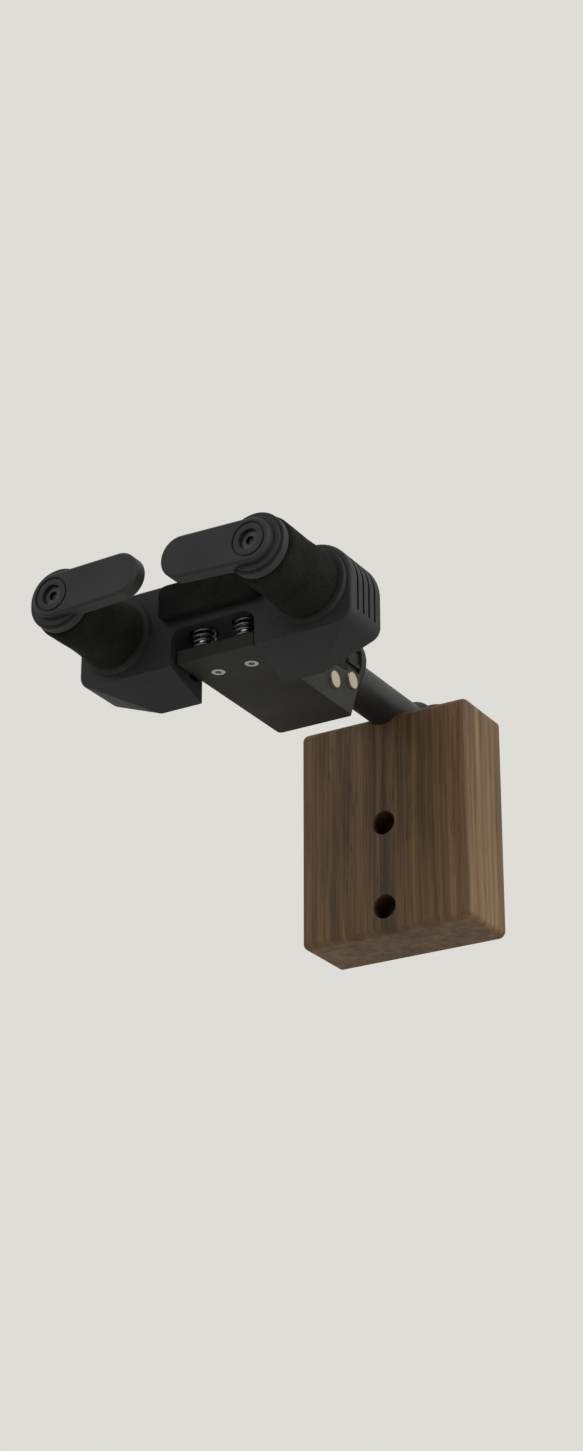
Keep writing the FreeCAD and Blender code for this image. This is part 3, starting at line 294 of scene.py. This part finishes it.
def metal(name, shade, rough, lines=(2200, 120, 2200), depth=0.01, tint=None):
    """Worked metal: fine tool lines, a slightly cloudy plating and small stains.

    The lines are counted per metre along each axis, and their depth is in millimetres.
    """
    g = Graph(name)
    tool = g.noise(g.scaled(*lines), 3.0, 0.6)
    cloud = g.noise(g.even(420, (0.7, 0.2, 0.4)), 4.0, 0.6)
    deep = tint or tuple(v * 0.55 for v in shade)
    colour = g.mix(g.span(cloud, 0.45, 0.72, 0.0, 0.25), shade, deep)
    lined = g.span(tool, 0.3, 0.7, rough - 0.06, rough + 0.06)
    roughness = g.math("ADD", lined, g.span(cloud, 0.4, 0.8, 0.0, 0.12))
    return g.finish(colour, roughness, g.bump(tool, depth * MM, 0.6), Metallic=1.0)


def nylon():
    """Natural nylon: milky, slightly waxy, with faint mould flow."""
    g = Graph("nylon")
    flow = g.noise(g.scaled(150, 150, 600))
    fine = g.noise(g.even(2600), 2.0)
    colour = g.mix(g.span(flow, 0.3, 0.7, 0.0, 1.0), srgb(214, 209, 195), srgb(232, 229, 219))
    return g.finish(
        colour, g.span(flow, 0.3, 0.7, 0.38, 0.5), g.bump(fine, 0.02 * MM, 0.6),
        Subsurface_Weight=0.15, Subsurface_Scale=0.002,
    )


def foam():
    """Black closed-cell foam: a matt skin of small broken cells with a dusty bloom."""
    g = Graph("black_foam")
    large = g.span(g.cells(g.even(1500)), 0.1, 0.5, 1.0, 0.0)
    small = g.span(g.cells(g.even(3400, (0.4, 0.1, 0.8))), 0.1, 0.45, 0.6, 0.0)
    pit = g.math("MAXIMUM", large, small)
    wide = g.noise(g.even(110), 4.0, 0.6)
    skin = g.mix(g.span(wide, 0.35, 0.7, 0.0, 1.0), srgb(15, 15, 15), srgb(26, 26, 26))
    colour = g.mix(g.math("MULTIPLY", pit, 0.8), skin, srgb(7, 7, 7))
    height = g.math("SUBTRACT", g.math("MULTIPLY", wide, 0.8), pit)
    return g.finish(
        colour, g.span(wide, 0.3, 0.7, 0.96, 0.84), g.bump(height, 0.16 * MM, 0.9),
        Specular_IOR_Level=0.12,
    )


def rubber():
    """Matt black rubber with a fine bloom."""
    g = Graph("collar_rubber")
    fine = g.noise(g.even(3000), 2.0)
    wide = g.noise(g.even(120))
    colour = g.mix(g.span(wide, 0.3, 0.7, 0.0, 1.0), srgb(26, 26, 25), srgb(42, 42, 40))
    rough = g.span(wide, 0.3, 0.7, 0.60, 0.75)
    return g.finish(colour, rough, g.bump(fine, 0.03 * MM, 0.7), Specular_IOR_Level=0.3)


MATERIALS = {
    "walnut": walnut(),
    "black_steel": powder_coat(),
    "zinc_steel": metal("zinc_steel", srgb(176, 178, 180), 0.32, tint=srgb(150, 150, 132)),
    "nickel_rivets": metal(
        "nickel_rivets", srgb(186, 178, 156), 0.38, lines=(1400, 1400, 1400), depth=0.006,
    ),
    "bright_steel": metal("bright_steel", srgb(190, 190, 190), 0.24, lines=(3000, 160, 3000)),
    "spring_steel": metal("spring_steel", srgb(120, 120, 122), 0.3),
    "bronze": metal("bronze", srgb(170, 132, 84), 0.42, lines=(1800, 1800, 1800), depth=0.02),
    "nylon": nylon(),
    "holder_plastic": moulded(
        "holder_plastic", srgb(27, 27, 24), grain=0.5, depth=0.06, specular=0.24,
    ),
    "yoke_plastic": moulded(
        "yoke_plastic", srgb(31, 32, 35), grain=0.45, depth=0.07, specular=0.28,
    ),
    "finger_plastic": moulded(
        "finger_plastic", srgb(32, 33, 35), grain=0.36, depth=0.05, specular=0.28,
        rough=(0.48, 0.62),
    ),
    "collar_rubber": rubber(),
    "black_foam": foam(),
    "black_screw": metal("black_screw", srgb(66, 66, 68), 0.40, tint=srgb(40, 38, 36)),
}

for row in frame["record"]["subparts"]:
    mesh = nodes[row["node"]].data
    mesh.materials.clear()
    mesh.materials.append(MATERIALS[row["material_slot"]])


# ---------------------------------------------------------------- foam pieces


def show(name, data):
    """Adds an object made of a mesh, a light or a camera to the scene."""
    made = bpy.data.objects.new(name, data)
    bpy.context.scene.collection.objects.link(made)
    return made


def finish_piece(name, bm, node, body):
    """Makes the object of a foam piece from its mesh, gives it the foam material, hangs it on its
    body and hides the CAD part it replaces.
    """
    mesh = bpy.data.meshes.new(name)
    bm.to_mesh(mesh)
    bm.free()
    for face in mesh.polygons:
        face.use_smooth = True
    piece = show(name, mesh)
    mesh.materials.append(MATERIALS["black_foam"])
    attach(piece, body)
    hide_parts(node)


def quarter(steps):
    """What sine and cosine fall short of 1 by along a quarter turn, for rounding an edge."""
    for step in range(steps + 1):
        turn = math.pi / 2 * step / steps
        yield 1 - math.sin(turn), 1 - math.cos(turn)


def bridge(bm, first, second):
    """Joins two closed rings of equally many points with faces."""
    count = len(first)
    for k in range(count):
        nxt = (k + 1) % count
        bm.faces.new((first[k], first[nxt], second[nxt], second[k]))


def foam_sleeve(hand):
    """A foam tube: rounded ends, a slack waist, and a skin that is never quite even."""
    tube_gap = 0.12 * MM
    front_taper = 0.3 * MM
    edge = 1.6 * MM
    bore_edge = 0.5 * MM
    waist = 0.22 * MM
    edge_steps, rows, around = 5, 26, 96
    # the skin's two waves: how far each reaches, and how quickly it changes round and along
    wave_depth, wave_round, wave_along = 0.20 * MM, 1.4, 110
    grain_depth, grain_round, grain_along = 0.05 * MM, 5, 520

    low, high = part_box(hand + "_foam_sleeve")
    centre = (low + high) / 2
    tube_low, tube_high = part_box(hand + "_arm_tube")
    bore = (tube_high.x - tube_low.x) / 2 + tube_gap
    back_radius = (high.x - low.x) / 2
    front_radius = back_radius - front_taper
    back, front = high.y, low.y
    # the section runs from the bore's back end round the outside to its front end
    section = [(bore, back - bore_edge), (bore + bore_edge, back)]
    for side, end in quarter(edge_steps):
        section.append((back_radius - edge * side, back - edge * end))
    for row in range(1, rows):
        along = row / rows
        straight = back_radius + (front_radius - back_radius) * along
        slack = waist * math.sin(math.pi * along)
        section.append((straight - slack, back - edge + (front - back + 2 * edge) * along))
    for end, side in quarter(edge_steps):
        section.append((front_radius - edge * side, front + edge * end))
    section += [(bore + bore_edge, front), (bore, front + bore_edge)]

    bm = bmesh.new()
    rings = []
    for radius, y in section:
        # the outside is uneven and the bore is not, with a soft change over 2 mm between them
        share = max(0.0, min(1.0, (radius - bore - MM) / (2 * MM)))
        ring = []
        for k in range(around):
            angle = 2 * math.pi * k / around
            x, z = math.cos(angle), math.sin(angle)
            wave = noise.noise(Vector((x * wave_round, y * wave_along, z * wave_round)))
            grain = noise.noise(Vector((x * grain_round, y * grain_along, z * grain_round)))
            dent = min(0.0, wave_depth * wave - wave_depth / 2) + grain_depth * grain - grain_depth
            r = radius + share * dent
            ring.append(bm.verts.new((centre.x + r * x, y, centre.z + r * z)))
        rings.append(ring)
    for first, second in zip(rings, rings[1:] + rings[:1]):
        bridge(bm, first, second)
    bmesh.ops.recalc_face_normals(bm, faces=bm.faces)
    finish_piece(hand + "_foam", bm, hand + "_foam_sleeve", "yoke")


def foam_pad():
    """The thin pad on the bridge: rounded corners, rolled edges and a slightly sunken middle."""
    corner = 2.6 * MM
    roll = 0.9 * MM
    back_edge_in, back_edge_deep = 0.25 * MM, 0.3 * MM
    sunken = 0.35 * MM
    corner_steps, roll_steps = 8, 4

    low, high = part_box("neck_pad")
    centre = (low + high) / 2
    half = (high - low) / 2
    back, front = high.y, low.y
    outline = []
    for right, up, start in ((1, 1, 0), (-1, 1, 90), (-1, -1, 180), (1, -1, 270)):
        x, z = right * (half.x - corner), up * (half.z - corner)
        for step in range(corner_steps + 1):
            angle = math.radians(start + 90 * step / corner_steps)
            outline.append((x, z, math.cos(angle), math.sin(angle)))
    # each layer is an inset of the outline at a distance from the wall
    layers = [(back_edge_in, back), (0.0, back - back_edge_deep)]
    for end, side in quarter(roll_steps):
        layers.append((roll * side, front + roll * end))

    bm = bmesh.new()
    rings = []
    for inset, y in layers:
        reach = corner - inset
        rings.append([
            bm.verts.new((centre.x + x + reach * c, y, centre.z + z + reach * s))
            for x, z, c, s in outline
        ])
    for first, second in zip(rings, rings[1:]):
        bridge(bm, first, second)
    # both sides are closed by rings that shrink towards the middle
    for ring, y, sink in ((rings[0], back, 0.0), (rings[-1], front, sunken)):
        previous = ring
        for share in (0.9, 0.75, 0.5, 0.25):
            inner = [
                bm.verts.new((
                    centre.x + (v.co.x - centre.x) * share,
                    y + sink * (1 - share ** 4),
                    centre.z + (v.co.z - centre.z) * share,
                ))
                for v in ring
            ]
            bridge(bm, previous, inner)
            previous = inner
        bm.faces.new(previous)
    bmesh.ops.recalc_face_normals(bm, faces=bm.faces)
    finish_piece("neck_rest_foam", bm, "neck_pad", "yoke")


for side in ("left", "right"):
    foam_sleeve(side)
foam_pad()


# ---------------------------------------------------------------- floor, light and camera

FLOOR_LEVEL = -1.3
FLOOR_HALF = 14.0

LIGHTS_AIM = (0, -0.07, 0.02)
# place, width and height, watts, colour
WINDOW = ((1.9, -0.25, 0.5), (1.6, 1.4), 30.0, (1.0, 0.985, 0.96))
FRONT_FILL = ((-0.5, -1.8, 0.4), (1.6, 1.6), 5.0, (0.97, 0.985, 1.0))

CAMERA_PLACE = (0.394, -0.733, -0.319)
CAMERA_LENS = 72.0
CAMERA_SEES = (0.05, 60.0)
# the camera aims this far above the middle of the hanger
AIM_LIFT = 0.004


def look(thing, place, aim):
    """Puts a light or a camera at a place, turned towards another."""
    thing.location = place
    thing.rotation_euler = (Vector(aim) - Vector(place)).to_track_quat("-Z", "Y").to_euler()


def make_floor():
    """A pale plain floor well below the hanger."""
    g = Graph("floor")
    cloud = g.noise(g.even(1.5))
    g.finish(g.mix(cloud, srgb(214, 213, 209), srgb(222, 221, 217)), 0.85)
    bm = bmesh.new()
    bm.faces.new([
        bm.verts.new((x * FLOOR_HALF, y * FLOOR_HALF, FLOOR_LEVEL))
        for x, y in ((-1, -1), (1, -1), (1, 1), (-1, 1))
    ])
    mesh = bpy.data.meshes.new("floor")
    bm.to_mesh(mesh)
    bm.free()
    mesh.materials.append(g.material)
    floor = show("floor", mesh)


def area_light(name, place, extent, power, colour):
    """A soft rectangular light, aimed at the hanger."""
    data = bpy.data.lights.new(name, "AREA")
    data.shape = "RECTANGLE"
    data.size, data.size_y = extent
    data.energy = power
    data.color = colour
    look(show(name, data), place, LIGHTS_AIM)


def make_world():
    """A pale, even surround."""
    world = bpy.data.worlds.new("studio")
    bpy.context.scene.world = world
    world.use_nodes = True
    background = world.node_tree.nodes["Background"]
    background.inputs["Color"].default_value = (*srgb(222, 221, 216), 1)
    background.inputs["Strength"].default_value = 1.0


def make_camera():
    """Low and to the right of the hanger, looking up at it."""
    data = bpy.data.cameras.new("camera")
    data.lens = CAMERA_LENS
    data.clip_start, data.clip_end = CAMERA_SEES
    camera = show("camera", data)
    low, high = cad_box
    look(camera, CAMERA_PLACE, (0.0, (low.y + high.y) / 2, (low.z + high.z) / 2 + AIM_LIFT))
    bpy.context.scene.camera = camera


make_floor()
make_world()
area_light("window", *WINDOW)
area_light("front_fill", *FRONT_FILL)
make_camera()
bpy.context.scene.view_settings.view_transform = "Standard"
